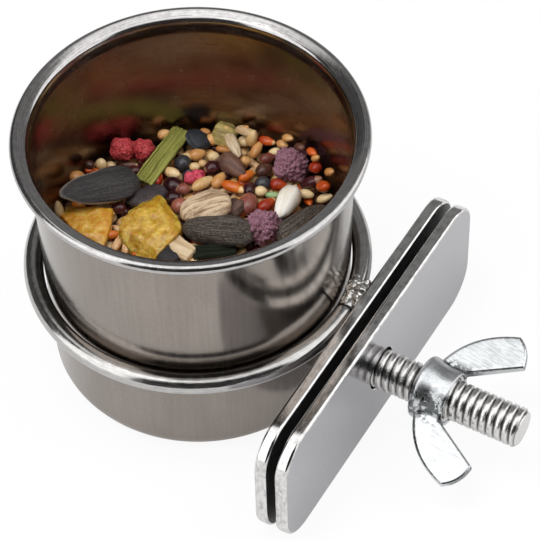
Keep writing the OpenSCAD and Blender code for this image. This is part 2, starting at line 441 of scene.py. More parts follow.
def cup_satin(sheet):
    """Satin steel with upright drawing lines and a fine grain."""
    lines = sheet.grain((0.45, 0.45, 16.0))
    grain = sheet.grain((0.14, 0.14, 0.22))
    cloud = sheet.grain((7.0, 7.0, 12.0))
    shade = lines * 0.22 + grain * 0.48 + cloud * 0.3
    colour = shade.ramp((0.32, (0.25, 0.218, 0.193)), (0.68, (0.37, 0.328, 0.295)))
    return {
        "Base Color": colour,
        "Roughness": (lines * 0.5 + grain * 0.5).span(0.3, 0.7, 0.10, 0.17),
        "height": lines * 0.25 + grain * 0.75,
        "depth": 0.0045,
    }


def cup_inner_shade(sheet):
    """Smoother steel with lines around the axis, painted darker and browner than the outside as shade and as
    the seeds' reflection.
    """
    lines = sheet.grain((9.0, 9.0, 0.25), 3.0)
    cloud = sheet.grain(5.0)
    colour = (lines * 0.4 + cloud * 0.6).ramp((0.3, (0.19, 0.135, 0.105)), (0.7, (0.31, 0.235, 0.195)))
    return {
        "Base Color": colour,
        "Roughness": cloud.span(0.3, 0.7, 0.21, 0.29),
        "height": lines,
        "depth": 0.004,
    }


def rim_polish(sheet):
    """Bright polish with fine lines around it and small marks."""
    lines = sheet.grain(sheet.around(0.16), 3.0, 0.6)
    marks = sheet.grain((0.9, 0.9, 0.5), 4.0, 0.6)
    shade = lines * 0.6 + marks * 0.4
    colour = shade.ramp((0.3, (0.36, 0.345, 0.34)), (0.62, (0.60, 0.585, 0.58)))
    return {
        "Base Color": colour,
        "Roughness": shade.span(0.3, 0.7, 0.1, 0.22),
        "height": shade,
        "depth": 0.014,
    }


def wire_polish(sheet):
    """Drawn wire, bright with soft marks along it."""
    lines = sheet.grain(sheet.around(0.22), 3.0, 0.6)
    marks = sheet.grain((1.2, 1.2, 0.4), 4.0, 0.6)
    shade = lines * 0.55 + marks * 0.45
    colour = shade.ramp((0.3, (0.38, 0.37, 0.36)), (0.64, (0.62, 0.61, 0.595)))
    return {
        "Base Color": colour,
        "Roughness": shade.span(0.3, 0.7, 0.1, 0.24),
        "height": shade,
        "depth": 0.02,
    }


def weld_skin(sheet):
    """Crumpled bright metal with darker scale in its folds."""
    folds = sheet.grain((1.0, 1.6, 0.8), 3.0, 0.5)
    flakes = sheet.cells(sheet.place((0.8, 1.1, 0.7)))
    height = folds * 0.75 + flakes * 0.25
    colour = height.ramp((0.3, (0.34, 0.32, 0.30)), (0.55, (0.76, 0.74, 0.71)))
    return {
        "Base Color": colour,
        "Roughness": folds.span(0.3, 0.7, 0.14, 0.28),
        "height": height,
        "depth": 0.07,
    }


def plate_polish(sheet):
    """Polished plate with a faint grain along it and slight waves."""
    grain = sheet.grain((0.12, 6.0, 0.12), 3.0)
    waves = sheet.grain(6.0, 1.0)
    spots = sheet.grain(0.5, 3.0, 0.6)
    colour = (grain * 0.4 + spots * 0.6).ramp((0.3, (0.44, 0.43, 0.45)), (0.7, (0.52, 0.51, 0.535)))
    return {
        "Base Color": colour,
        "Roughness": (grain * 0.6 + spots * 0.4).span(0.3, 0.75, 0.08, 0.17),
        "height": grain * 0.05 + waves * 0.95,
        "depth": 0.03,
    }


def plate_edge(sheet):
    """The plates' cut edges, bright with marks from the shear."""
    marks = sheet.grain((0.35, 2.0, 2.0), 4.0, 0.65)
    dents = sheet.grain((1.0, 1.2, 1.2), 3.0, 0.6)
    return {
        "Base Color": (marks * 0.5 + dents * 0.5).ramp((0.36, (0.50, 0.49, 0.48)), (0.56, (0.82, 0.81, 0.80))),
        "Roughness": marks.span(0.3, 0.7, 0.05, 0.13),
        "height": marks * 0.4 + dents * 0.6,
        "depth": 0.012,
    }


def plate_gap_shade(sheet):
    """The plates' inner faces, dull, and painted dark as the shade between the plates."""
    spots = sheet.grain((0.8, 1.6, 0.8), 4.0, 0.6)
    return {
        "Base Color": spots.ramp((0.3, (0.08, 0.078, 0.076)), (0.7, (0.20, 0.195, 0.19))),
        "Roughness": spots.span(0.3, 0.7, 0.38, 0.55),
        "height": spots,
        "depth": 0.05,
    }


def bolt_plating(sheet):
    """Bright crests over grooves that are painted dark as shade."""
    along, across, up = sheet.parts(sheet.place())
    radius = (across ** 2.0 + (up - BOLT_Z) ** 2.0) ** 0.5
    crest = radius.span(THREAD_ROOT_R, BOLT_R - 0.05)
    crest = crest.math("MAXIMUM", crest, along.span(TIP_X - 0.2, TIP_X - 0.1))
    mottle = sheet.grain((0.16, 0.45, 0.45), 4.0, 0.65)
    # Painted shade: the grooves between the crests are coloured nearly black, the crests bright
    groove_shade = sheet.mix(mottle, (0.04, 0.036, 0.032), (0.24, 0.23, 0.22))
    metal = sheet.mix(mottle, (0.60, 0.59, 0.58), (0.94, 0.93, 0.91))
    return {
        "Base Color": sheet.mix(crest, groove_shade, metal),
        "Roughness": mottle.span(0.3, 0.7, 0.10, 0.28),
        "height": mottle,
        "depth": 0.04,
    }


def nut_zinc(sheet):
    """Bright zinc with fine scratches along the bolt, painted darker towards the upper wing as shade so that
    the scratches stand out more there, and a hub that is rougher at its top, with dented patches on its lower
    part painted dark as reflections.
    """
    _, across, up = sheet.parts(sheet.place())
    radius = (across ** 2.0 + (up - BOLT_Z) ** 2.0) ** 0.5
    hub = 1.0 - radius.span(END_R + 0.3, END_R + 1.8)
    scratches = sheet.grain((4.0, 0.07, 0.07), 2.0, 0.6, turn=(0.0, 0.0, 0.12))
    cloud = sheet.grain(1.6)
    # Dented patches on the lower part of the hub, which the base colour paints nearly black as dark reflections
    hub_dents_and_dark_reflection = sheet.grain((1.1, 1.6, 1.6), 4.0, 0.6).span(0.46, 0.52)
    hub_dents_and_dark_reflection = hub_dents_and_dark_reflection * up.span(BOLT_Z + 4.5, BOLT_Z + 2.5)
    worn = (scratches * 0.8 + cloud * 0.2).span(0.38, 0.53)
    # Painted shade: between the scratches the zinc is coloured darker with height, so the upper wing is darker
    # than the lower
    deep = up.span(BOLT_Z - 4, BOLT_Z + 9, 0.35, 0.85)
    zinc = sheet.mix((1.0 - worn) * deep, (0.74, 0.76, 0.77), (0.24, 0.265, 0.28))
    return {
        "Base Color": sheet.mix(hub * hub_dents_and_dark_reflection * 0.9, zinc, (0.09, 0.095, 0.10)),
        "Roughness": cloud.span(0.3, 0.7, 0.10, 0.18) + hub * up.span(BOLT_Z + 2, BOLT_Z + 4.5) * 0.2,
        "height": scratches * 0.4 + cloud * 0.6 - hub_dents_and_dark_reflection * hub * 0.5,
        "depth": 0.03,
    }


def nut_edge_shade(sheet):
    """The wings' cut edges, streaked, and painted dark as shade."""
    streaks = sheet.grain((0.6, 0.35, 0.6), 3.0, 0.6)
    return {
        "Base Color": streaks.ramp((0.3, (0.10, 0.11, 0.115)), (0.65, (0.42, 0.44, 0.45))),
        "Roughness": streaks.span(0.3, 0.7, 0.16, 0.34),
        "height": streaks,
        "depth": 0.06,
    }


# Shapes, in millimetres

def new_object(name, shape, materials):
    """An object from a shape, which is used up."""
    mesh = bpy.data.meshes.new(name)
    shape.to_mesh(mesh)
    shape.free()
    for material in materials:
        mesh.materials.append(material)
    made = bpy.data.objects.new(name, mesh)
    bpy.context.scene.collection.objects.link(made)
    return made


def finish_piece(name, shape, materials, body, nodes=(), flat=None):
    """Turns a shape in millimetres into a piece in metres that rides on a body."""
    bmesh.ops.scale(shape, vec=(MM, MM, MM), verts=shape.verts)
    for face in shape.faces:
        face.smooth = not (flat and flat(face))
    made = new_object(name, shape, materials)
    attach(made, body)
    if nodes:
        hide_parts(*nodes)


def arc(centre, radius, start, end, steps=8):
    """Points on an arc between two angles in degrees."""
    angles = [math.radians(start + (end - start) * step / steps) for step in range(steps + 1)]
    return [(centre[0] + radius * math.cos(angle), centre[1] + radius * math.sin(angle)) for angle in angles]


def move(shape, verts, step):
    bmesh.ops.translate(shape, verts=verts, vec=step)


def rotate(shape, verts, angle, axis):
    """Turns points around an axis through the origin."""
    bmesh.ops.rotate(shape, verts=verts, cent=(0, 0, 0), matrix=Matrix.Rotation(angle, 3, axis))


def add_line(shape, places, closed=False):
    """Joins places by edges, and the last to the first if the line is closed."""
    verts = [shape.verts.new(place) for place in places]
    for pair in list(zip(verts, verts[1:])) + ([(verts[-1], verts[0])] if closed else []):
        shape.edges.new(pair)


def sweep(shape, axis, angle, steps, centre=(0, 0, 0), shift=(0, 0, 0), joined=False):
    """Sweeps a shape's line around an axis, with a shift at each step, and joins its ends."""
    bmesh.ops.spin(
        shape, geom=shape.verts[:] + shape.edges[:], cent=centre, axis=axis, dvec=shift,
        angle=angle, steps=steps, use_merge=joined, use_duplicate=False,
    )


def spun(points, steps, closed=True, around_bolt=False):
    """A section of radius and height, spun around the cup's axis or around the bolt's."""
    shape = bmesh.new()
    if around_bolt:
        add_line(shape, [(along, 0, BOLT_Z + radius) for radius, along in points], closed)
        sweep(shape, (1, 0, 0), math.tau, steps, (0, 0, BOLT_Z), joined=True)
    else:
        add_line(shape, [(radius, 0, rise) for radius, rise in points], closed)
        sweep(shape, (0, 0, 1), math.tau, steps, joined=True)
    bmesh.ops.remove_doubles(shape, verts=shape.verts, dist=0.0005)
    bmesh.ops.recalc_face_normals(shape, faces=shape.faces)
    return shape


def rounded(points, radius, steps=3):
    """An outline whose corners are rounded, each by at most half of its shorter side."""
    outline = []
    for before, corner, after in zip(points[-1:] + points[:-1], points, points[1:] + points[:1]):
        here = Vector(corner)
        back, on = Vector(before) - here, Vector(after) - here
        reach = min(radius, back.length / 2.2, on.length / 2.2)
        start, end = here + back.normalized() * reach, here + on.normalized() * reach
        for step in range(steps + 1):
            share = step / steps
            outline.append(tuple(start.lerp(here, share).lerp(here.lerp(end, share), share)))
    return outline


def sharp_edges(shape, angle=40):
    """Edges where two faces meet at more than an angle in degrees."""
    return [edge for edge in shape.edges if edge.is_manifold and edge.calc_face_angle() > math.radians(angle)]


def soften(shape, geometry, width, segments=2, affect="EDGES"):
    """Rounds edges, or the corners of a flat outline."""
    bmesh.ops.bevel(
        shape, geom=geometry, offset=width, affect=affect, segments=segments, profile=0.5,
        material=-1, clamp_overlap=True,
    )


def smooth(shape, times=1):
    """Moves each point halfway to the middle of its neighbours."""
    for _ in range(times):
        bmesh.ops.smooth_vert(
            shape, verts=shape.verts, factor=0.5, use_axis_x=True, use_axis_y=True, use_axis_z=True,
        )


def raise_faces(shape, faces, step):
    """Raises faces to make a flat shape thick, and returns the points that moved."""
    made = bmesh.ops.extrude_face_region(shape, geom=faces)["geom"]
    raised = [item for item in made if isinstance(item, bmesh.types.BMVert)]
    move(shape, raised, step)
    return raised


def cut(shape, place, normal, clear=False):
    """Cuts a shape along a plane, and can clear away what lies on the side of its normal."""
    bmesh.ops.bisect_plane(
        shape, geom=shape.verts[:] + shape.edges[:] + shape.faces[:], dist=0.0001,
        plane_co=place, plane_no=normal, clear_outer=clear, clear_inner=False,
    )


def remeshed(shape, voxel):
    """One closed skin around the parts of a shape, which may overlap."""
    lumps = new_object("lumps", shape, [])
    mesh = lumps.data
    skin = lumps.modifiers.new("skin", "REMESH")
    skin.mode = "VOXEL"
    skin.voxel_size = voxel
    held = lumps.evaluated_get(bpy.context.evaluated_depsgraph_get())
    made = bmesh.new()
    made.from_mesh(held.to_mesh())
    held.to_mesh_clear()
    bpy.data.objects.remove(lumps)
    bpy.data.meshes.remove(mesh)
    return made


def roughen(shape, size, depth, seed=0.0):
    """Moves each point along its normal by noise about as broad as the given size."""
    shape.normal_update()
    shift = Vector((seed, seed * 1.7, -seed))
    for vert, normal in [(vert, vert.normal.copy()) for vert in shape.verts]:
        vert.co += normal * depth * noise.noise(vert.co / size + shift)


# Cup

def smooth_share(share):
    """A share that starts and ends slowly."""
    return share * share * (3 - 2 * share)


def flare_points(offset, steps=8):
    """The flare from the wall up to the roll, drawn with an even sweep."""
    shares = [step / steps for step in range(steps + 1)]
    return [(MOUTH_R + offset + FLARE * smooth_share(share), FLARE_Z + FLARE_H * share) for share in shares]


def roll_points(end_r):
    """The roll's outline at one distance from its middle, over the top and back under."""
    slope = math.radians(RIM_SLOPE)
    near = (LIP_R + RIM_H / 2, LIP_Z)
    far = (near[0] + 2 * RIM_HALF_L * math.cos(slope), near[1] + 2 * RIM_HALF_L * math.sin(slope))
    over = arc(near, end_r, 180, 90 + RIM_SLOPE, 6)
    around = arc(far, end_r, 90 + RIM_SLOPE, RIM_SLOPE - 90, 16)
    under = arc(near, end_r, RIM_SLOPE - 90, ROLL_END, 4)
    return over + around + under


def cup_points():
    corner = (BASE_R - CORNER_R, CORNER_R)
    inside = [(0, WALL)] + arc(corner, CORNER_R - WALL, -90, 0) + flare_points(0)
    roll = roll_points(RIM_H / 2) + roll_points(RIM_H / 2 - WALL)[::-1]
    outside = flare_points(WALL)[::-1] + arc(corner, CORNER_R, 0, -90) + [(0, 0)]
    return inside + roll + outside


def make_cup():
    shape = spun(cup_points(), CUP_STEPS)
    for face in shape.faces:
        place = face.calc_center_median()
        wall_r = BASE_R - WALL / 2 + TAPER * place.z / FLARE_Z
        if place.z > FLARE_Z + FLARE_H * POLISH_START:
            face.material_index = 2
        # The inside gets a darker, browner copy of the steel: painted shade and a painted reflection of the
        # seeds
        elif math.hypot(place.x, place.y) < wall_r and place.z > WALL / 2:
            face.material_index = 1
    materials = [metal(cup_satin), metal(cup_inner_shade), metal(rim_polish)]
    finish_piece("drawn_cup", shape, materials, "cup", ["cup"])


# Ring and welds

def make_ring():
    start = math.asin((BUTT_Y + BUTT_GAP / 2) / RING_R)
    angle = math.tau - 2 * math.asin(BUTT_GAP / 2 / RING_R)
    shape = bmesh.new()
    made = bmesh.ops.create_circle(shape, segments=WIRE_SIDES, radius=WIRE_R, cap_ends=False)["verts"]
    rotate(shape, made, math.pi / 2, "X")
    move(shape, made, (RING_R, 0, RING_Z))
    rotate(shape, made, start, "Z")
    sweep(shape, (0, 0, 1), angle, RING_STEPS)
    caps = bmesh.ops.holes_fill(shape, edges=shape.edges, sides=0)["faces"]
    soften(shape, [edge for cap in caps for edge in cap.edges], WIRE_END_BEVEL)
    bmesh.ops.recalc_face_normals(shape, faces=shape.faces)
    finish_piece("ring_wire", shape, [WIRE], "holder", ["wire_ring"])


def lump(shape, place, radius):
    made = bmesh.ops.create_icosphere(shape, subdivisions=2, radius=radius)["verts"]
    move(shape, made, place)


def end_in_plate(shape):
    """Ends a weld just inside the back plate."""
    for vert in shape.verts:
        vert.co.x = min(vert.co.x, BACK_X + WELD_SUNK)


def make_ring_weld():
    """Lumps above and below the wire where it meets the plate, and a crown over it."""
    dice = random.Random(5)
    shape = bmesh.new()
    for step in range(WELD_LUMPS):
        share = step / (WELD_LUMPS - 1)
        y = WELD_START + WELD_INSET + (WELD_END - WELD_START - 2 * WELD_INSET) * share
        wire_x = math.sqrt(RING_R ** 2 - y ** 2)
        arch = math.sin(math.pi * share)
        for side, size in ((1, 1.15), (-1, 1.0)):
            height = RING_Z + side * (WIRE_R * 0.62 + dice.uniform(-0.1, 0.25))
            radius = size * (0.75 + 0.35 * arch) * dice.uniform(0.8, 1.05)
            lump(shape, ((wire_x + BACK_X) / 2 + 0.15, y, height), radius)
        height = RING_Z + WIRE_R * (0.42 + 0.2 * arch) + dice.uniform(-0.1, 0.15)
        lump(shape, (wire_x - 0.15, y, height), 1.05 + 0.15 * dice.random())
    shape = remeshed(shape, WELD_VOXEL)
    roughen(shape, 1.1, 0.45, 3.0)
    roughen(shape, 0.5, 0.08, 8.0)
    smooth(shape)
    end_in_plate(shape)
    for vert in shape.verts:
        radius = math.hypot(vert.co.x, vert.co.y)
        if radius < WELD_CLEAR_R:
            vert.co.xy *= WELD_CLEAR_R / radius
    finish_piece("ring_weld_beads", shape, [WELD], "holder", ["ring_welds"])


def make_bolt_welds():
    shape = bmesh.new()
    for side in (-1, 1):
        for shift, radius in TACK_LUMPS:
            lump(shape, (BACK_X - 0.15, side * (HEAD_R + 0.05), BOLT_Z + shift), radius)
    shape = remeshed(shape, TACK_VOXEL)
    roughen(shape, 0.6, 0.22, 1.0)
    end_in_plate(shape)
    finish_piece("bolt_tack_welds", shape, [WELD], "holder", ["bolt_welds"])


# Plates

def plate_shape(back, hole_r):
    """A plate with round corners, a bolt hole and soft edges, and flat faces inside its bevels."""
    shape = bmesh.new()
    half_l, half_h = PLATE_L / 2, PLATE_H / 2
    corners = [(-half_l, -half_h), (half_l, -half_h), (half_l, half_h), (-half_l, half_h)]
    verts = [shape.verts.new((back, y, BOLT_Z + z)) for y, z in corners]
    shape.faces.new(verts)
    soften(shape, verts, PLATE_CORNER, PLATE_CORNER_STEPS, "VERTICES")
    bmesh.ops.delete(shape, geom=shape.faces[:], context="FACES_ONLY")
    made = bmesh.ops.create_circle(shape, segments=len(shape.verts), radius=hole_r)["verts"]
    rotate(shape, made, math.pi / 2, "Y")
    move(shape, made, (back, 0, BOLT_Z))
    bmesh.ops.bridge_loops(shape, edges=shape.edges)
    raise_faces(shape, shape.faces[:], (PLATE_T, 0, 0))
    bmesh.ops.recalc_face_normals(shape, faces=shape.faces)
    bolt = Vector((0, BOLT_Z))
    outline = [edge for edge in sharp_edges(shape)
               if max((vert.co.yz - bolt).length for vert in edge.verts) > hole_r + HOLE_MARGIN]
    soften(shape, outline, PLATE_BEVEL)
    margin = PLATE_BEVEL + BEVEL_MARGIN
    for x in (back + margin, back + PLATE_T - margin):
        cut(shape, (x, 0, 0), (1, 0, 0))
    soften(shape, sharp_edges(shape, 60), HOLE_BEVEL)
    return shape


def faces_along_x(face):
    return abs(face.normal.x) > 0.999


def make_plates():
    for name, back, hole_r, body, node, inward in (
        ("back_plate_steel", BACK_X, BORE_R, "holder", "back_plate", 1),
        ("clamp_plate_steel", CLAMP_X, HOLE_R, "clamp_plate", "clamp_plate", -1),
    ):
        shape = plate_shape(back, hole_r)
        for face in shape.faces:
            # The faces that face the other plate get painted shade
            if face.normal.x * inward > 0.999:
                face.material_index = 1
            elif not faces_along_x(face):
                face.material_index = 2
        finish_piece(name, shape, [PLATE, PLATE_GAP_SHADE, PLATE_EDGE], body, [node], faces_along_x)


# Bolt

def thread_shape(start, turns):
    """A right-hand thread with rounded crests, from one turn's profile."""
    shape = bmesh.new()
    share = PITCH / 8
    add_line(shape, [(start + step * share, 0, BOLT_Z + radius) for step, radius in THREAD])
    sweep(shape, (1, 0, 0), math.tau * turns, TURN_STEPS * turns, (0, 0, BOLT_Z), (PITCH / TURN_STEPS, 0, 0))
    bmesh.ops.remove_doubles(shape, verts=shape.verts, dist=0.002)
    return shape


def cut_end(shape, x, outward):
    """Cuts a shape square at a place along the bolt and closes the end."""
    cut(shape, (x, 0, BOLT_Z), (outward, 0, 0), clear=True)
    rim = [edge for edge in shape.edges
           if edge.is_boundary and all(abs(vert.co.x - x) < 0.001 for vert in edge.verts)]
    bmesh.ops.holes_fill(shape, edges=rim, sides=0)


def narrow_ends(shape):
    """Slopes the thread down to its root at the tip and where it starts."""
    axis = Vector((0, BOLT_Z))
    for vert in shape.verts:
        offset = vert.co.yz - axis
        limit = TIP_ROOT_R + TIP_SLOPE * min(TIP_X - vert.co.x, vert.co.x - PLAIN_END + THREAD_LEAD)
        if offset.length > limit:
            vert.co.yz = axis + offset * (limit / offset.length)


def dent_crests(shape):
    """Presses small dents into the thread's crests."""
    for vert in shape.verts:
        offset = vert.co - Vector((vert.co.x, 0, BOLT_Z))
        if vert.co.x < TIP_X - CREST_MARGIN and offset.length > BOLT_R - CREST_MARGIN:
            vert.co -= offset.normalized() * DENT_DEPTH * abs(noise.noise(vert.co / DENT_SIZE))


def add_shank(shape):
    """Adds the head and the plain part of the bolt."""
    head = [(0, BACK_X - HEAD_T), (HEAD_R, BACK_X - HEAD_T), (HEAD_R, BACK_X), (BOLT_R, BACK_X),
            (BOLT_R, PLAIN_END + SHANK_OVERLAP), (0, PLAIN_END + SHANK_OVERLAP)]
    points = [head[0]] + rounded(head, HEAD_ROUND)[4:-4] + [head[-1]]
    shank = spun(points, BOLT_SIDES, closed=False, around_bolt=True)
    mesh = bpy.data.meshes.new("shank")
    shank.to_mesh(mesh)
    shank.free()
    shape.from_mesh(mesh)
    bpy.data.meshes.remove(mesh)


def make_bolt():
    turns = int((TIP_X - PLAIN_END) / PITCH) + 3
    shape = thread_shape(PLAIN_END - PITCH, turns)
    cut_end(shape, PLAIN_END, -1)
    cut_end(shape, TIP_X, 1)
    narrow_ends(shape)
    bmesh.ops.recalc_face_normals(shape, faces=shape.faces)
    dent_crests(shape)
    tip = [edge for edge in sharp_edges(shape, 50) if min(vert.co.x for vert in edge.verts) > TIP_X - 0.01]
    soften(shape, tip, TIP_BEVEL)
    add_shank(shape)
    finish_piece("bolt_steel", shape, [BOLT], "holder", ["clamp_bolt"], faces_along_x)


# Wing nut

def make_nut_core():
    """The threaded core, with a groove for each turn of the thread."""
    low, high = NUT_X + CORE_INSET, NUT_X + HUB_H - CORE_INSET
    mouth_r = CORE_BORE_R + CORE_CHAMFER
    points = [(mouth_r, low), (CORE_R, low), (CORE_R, high), (mouth_r, high)]
    for turn in range(int((high - low - 0.6) / PITCH)):
        base = high - GROOVE_START - turn * PITCH
        points += [(CORE_BORE_R, base), (CORE_BORE_R + GROOVE_DEPTH, base - PITCH * 0.4),
                   (CORE_BORE_R, base - PITCH * 0.8)]
    points.append((CORE_BORE_R, low + CORE_CHAMFER))
    shape = spun(points, BOLT_SIDES, around_bolt=True)
    finish_piece("nut_threads", shape, [BOLT], "nut_thread", ["nut_thread"])


def bow(start, pull, end, steps=12):
    """Points along an edge from start to end that bows towards pull."""
    curve = []
    for step in range(steps + 1):
        share = step / steps
        rest = 1 - share
        curve.append(tuple(rest * rest * a + 2 * rest * share * b + share * share * c
                           for a, b, c in zip(start, pull, end)))
    return curve


def wing_points():
    """One wing's outline as height above the foot and distance from the axis."""
    root = (NUT_BORE_R + END_R) / 2
    back_pull, tip_start, tip_pull, tip_end = (
        (NUT_H * rise, HALF_SPAN * reach) for rise, reach in (BACK_PULL, TIP_START, TIP_PULL, TIP_END))
    back = bow((FOOT_H, root), back_pull, tip_start)
    tip = bow(tip_start, tip_pull, tip_end)
    return back + tip[1:] + [(HUB_H - FOOT_H / 2, root)]


def add_wing(shape, side):
    """One wing on its side of the hub, thicker at its root."""
    verts = [shape.verts.new((NUT_X + along, reach, -WING_T / 2)) for along, reach in wing_points()]
    raised = raise_faces(shape, [shape.faces.new(verts)], (0, 0, WING_T))
    for vert in verts + raised:
        vert.co.z *= 1 + WING_SWELL * (HALF_SPAN - vert.co.y) / HALF_SPAN
    rotate(shape, verts + raised, math.radians(WING_TURN) + side, "X")
    move(shape, verts + raised, (0, 0, BOLT_Z))
    rims = [edge for edge in shape.edges for rim in (verts, raised) if all(vert in rim for vert in edge.verts)]
    soften(shape, rims, WING_ROUND, 3)


def on_wing_edge(spot, normal):
    """Whether a face lies on a wing's edge, where shade is painted, seen with the wings laid flat."""
    if normal.x > 0:
        steepness = FRONT_STEEPNESS
    else:
        steepness = LOWER_STEEPNESS if spot.y < 0 else UPPER_STEEPNESS
    return abs(spot.y) > EDGE_START and abs(normal.z) < steepness and abs(normal.y) < EDGE_LIMIT


def make_wing_nut():
    hub = [(NUT_BORE_R, 0), (FOOT_R - 0.3, 0), (FOOT_R, FOOT_H / 2), (FOOT_R, FOOT_H),
           (END_R + 0.1, HUB_H / 2), (END_R, HUB_H), (NUT_BORE_R, HUB_H)]
    section = [(radius, NUT_X + along) for radius, along in rounded(hub, FOOT_ROUND)]
    shape = spun(section, HUB_SIDES, around_bolt=True)
    for side in (0, math.pi):
        add_wing(shape, side)
    bmesh.ops.recalc_face_normals(shape, faces=shape.faces)
    shape = remeshed(shape, NUT_VOXEL)
    smooth(shape, WING_SMOOTHING)
    shape.normal_update()
    level = Matrix.Rotation(-math.radians(WING_TURN), 3, "X")
    for face in shape.faces:
        spot = level @ (face.calc_center_median() - Vector((0, 0, BOLT_Z)))
        # Faces along the wings' edges get the material with painted shade
        if on_wing_edge(spot, level @ face.normal):
            face.material_index = 1
    finish_piece("winged_nut", shape, [NUT, NUT_EDGE_SHADE], "wing_nut", ["wing_nut"])


# Seed mix, which lies loose in the cup

def bed_height(x, y):
    share = min(1.0, math.hypot(x, y) / BED_R)
    return BED_Z + BED_MOUND * (1 - share * share)


def on_bed(x, y, lift, room):
    """The place above the bed that the photograph shows at a pixel, clear of the wall."""
    right, up, forward = camera_axes()
    half = IMAGE_SIDE / 2
    line = forward + right * ((x - half) / FOCAL_PX) - up * ((y - half) / FOCAL_PX)
    z = BED_Z + lift
    for _ in range(6):
        spot = CAMERA_PLACE + line * ((z - CAMERA_PLACE.z) / line.z)
        z = bed_height(spot.x, spot.y) + lift
    while math.hypot(spot.x, spot.y) > BED_R - room and spot.z < BED_Z + 8:
        spot -= line * (0.2 / -line.z)
    return spot


def laid(start, end, lift, room, roll=0.0):
    """A place whose X axis runs from one pixel to another above the bed, and how long it is."""
    first, last = on_bed(*start, lift, room), on_bed(*end, lift, room)
    along = last - first
    across = Vector((0, 0, 1)).cross(along).normalized()
    axes = Matrix((along.normalized(), across, along.normalized().cross(across))).transposed().to_4x4()
    place = Matrix.Translation((first + last) / 2) @ axes @ Matrix.Rotation(math.radians(roll), 4, "X")
    return place, along.length


def add_marks(shape):
    """Gives each point room for its place on its own seed, and for the seed's tone."""
    shape.verts.layers.float_vector.new("own")
    shape.verts.layers.float.new("tone")


def seed_shape():
    shape = bmesh.new()
    add_marks(shape)
    return shape


def settle(shape, made, place, tone):
    """Marks the points of one seed and puts it in its place."""
    own, tones = shape.verts.layers.float_vector["own"], shape.verts.layers.float["tone"]
    for vert in made:
        vert[own] = vert.co
        vert[tones] = tone
    bmesh.ops.transform(shape, matrix=place, verts=made)


def kernel(shape, place, size, taper, tone, around=10, rings=6, ripple=0.0, blunt=2.0):
    """A seed along X that is blunt at one end and narrows towards its tip."""
    made = bmesh.ops.create_uvsphere(shape, u_segments=around, v_segments=rings, radius=1)["verts"]
    rotate(shape, made, math.pi / 2, "Y")
    for vert in made:
        narrow = 1 - taper * ((1 + vert.co.x) / 2) ** 1.4
        if abs(vert.co.x) < 0.999:
            narrow *= (1 - abs(vert.co.x) ** blunt) ** (1 / blunt) / math.sqrt(1 - vert.co.x ** 2)
        vert.co.y *= narrow
        vert.co.z *= narrow
        if ripple:
            vert.co += vert.co * ripple * noise.noise(vert.co * 1.6 + Vector((tone * 40, 0, 0)))
        vert.co = Vector([part * side / 2 for part, side in zip(vert.co, size)])
    settle(shape, made, place, tone)


def crumb(shape, place, radius, tone, rough):
    """A ball of dried fruit with a crumbly skin."""
    made = bmesh.ops.create_icosphere(shape, subdivisions=5, radius=radius)["verts"]
    shift = Vector((tone * 30, 5, 2))
    for vert in made:
        way = vert.co.normalized()
        swell = 0.6 * noise.noise(way * 1.7 + shift) + rough * noise.noise(way * 5.5 + shift)
        fuzz = rough * 0.5 * noise.noise(way * 14 + shift)
        vert.co += way * radius * (0.3 * swell + 0.3 * fuzz)
    settle(shape, made, place, tone)


def seed_piece(name, shape, skin, shine=0.3):
    """A piece of the mix, with a finish of its own."""
    finish_piece(name, shape, [finish(name, skin, {"Specular IOR Level": shine})], "cup")


# Seed finishes

def husk(dark, pale, edge, stripe):
    """A sunflower husk with stripes along it and a paler edge."""
    def paint(sheet):
        streaks = sheet.grain((7.0, stripe, stripe), 3.0, 0.6, own=True)
        specks = sheet.grain((0.25, 0.12, 0.12), 2.0, 0.6, own=True)
        up = sheet.parts(sheet.place(own=True))[2]
        rim = 1.0 - abs(up).span(0.05, 0.4)
        skin = sheet.mix((streaks * 0.4 + specks * 0.6).span(0.42, 0.64), dark, pale)
        return {
            "Base Color": sheet.mix(rim * 0.8, skin, edge),
            "Roughness": specks.span(0.3, 0.7, 0.45, 0.65),
            "height": streaks * 0.7 + specks * 0.3,
            "depth": 0.25,
        }
    return paint


def coat(low, high, spot=None, spot_from=0.6, gloss=0.3, depth=0.03):
    """A seed's coat, with its own tone and a pale spot where it was attached."""
    def paint(sheet):
        cloud = sheet.grain(0.7, 3.0, 0.6, own=True)
        fine = sheet.grain(0.15, own=True)
        along = sheet.parts(sheet.place(own=True))[0]
        shade = cloud * 0.35 + sheet.tone() * 0.4 + along.span(-1.4, 1.4) * 0.25
        colour = sheet.mix(shade.span(0.2, 0.8), low, high)
        if spot:
            colour = sheet.mix(along.span(spot_from, spot_from + 0.25), colour, spot)
        return {
            "Base Color": colour,
            "Roughness": cloud.span(0.3, 0.7, gloss * 0.75, gloss + 0.1),
            "height": cloud * 0.6 + fine * 0.4,
            "depth": depth,
        }
    return paint


def ridged(low, high, width, depth, gloss=0.5, length=9):
    """A skin with ridges along it."""
    def paint(sheet):
        ridges = sheet.grain((width * length, width, width * 3), 3.0, 0.55, own=True)
        fine = sheet.grain((0.3, 0.12, 0.12), 3.0, 0.6, own=True)
        shade = ridges * 0.7 + fine * 0.3
        return {
            "Base Color": sheet.mix(shade.span(0.36, 0.6), low, high),
            "Roughness": fine.span(0.3, 0.7, gloss, gloss + 0.15),
            "height": shade,
            "depth": depth,
        }
    return paint


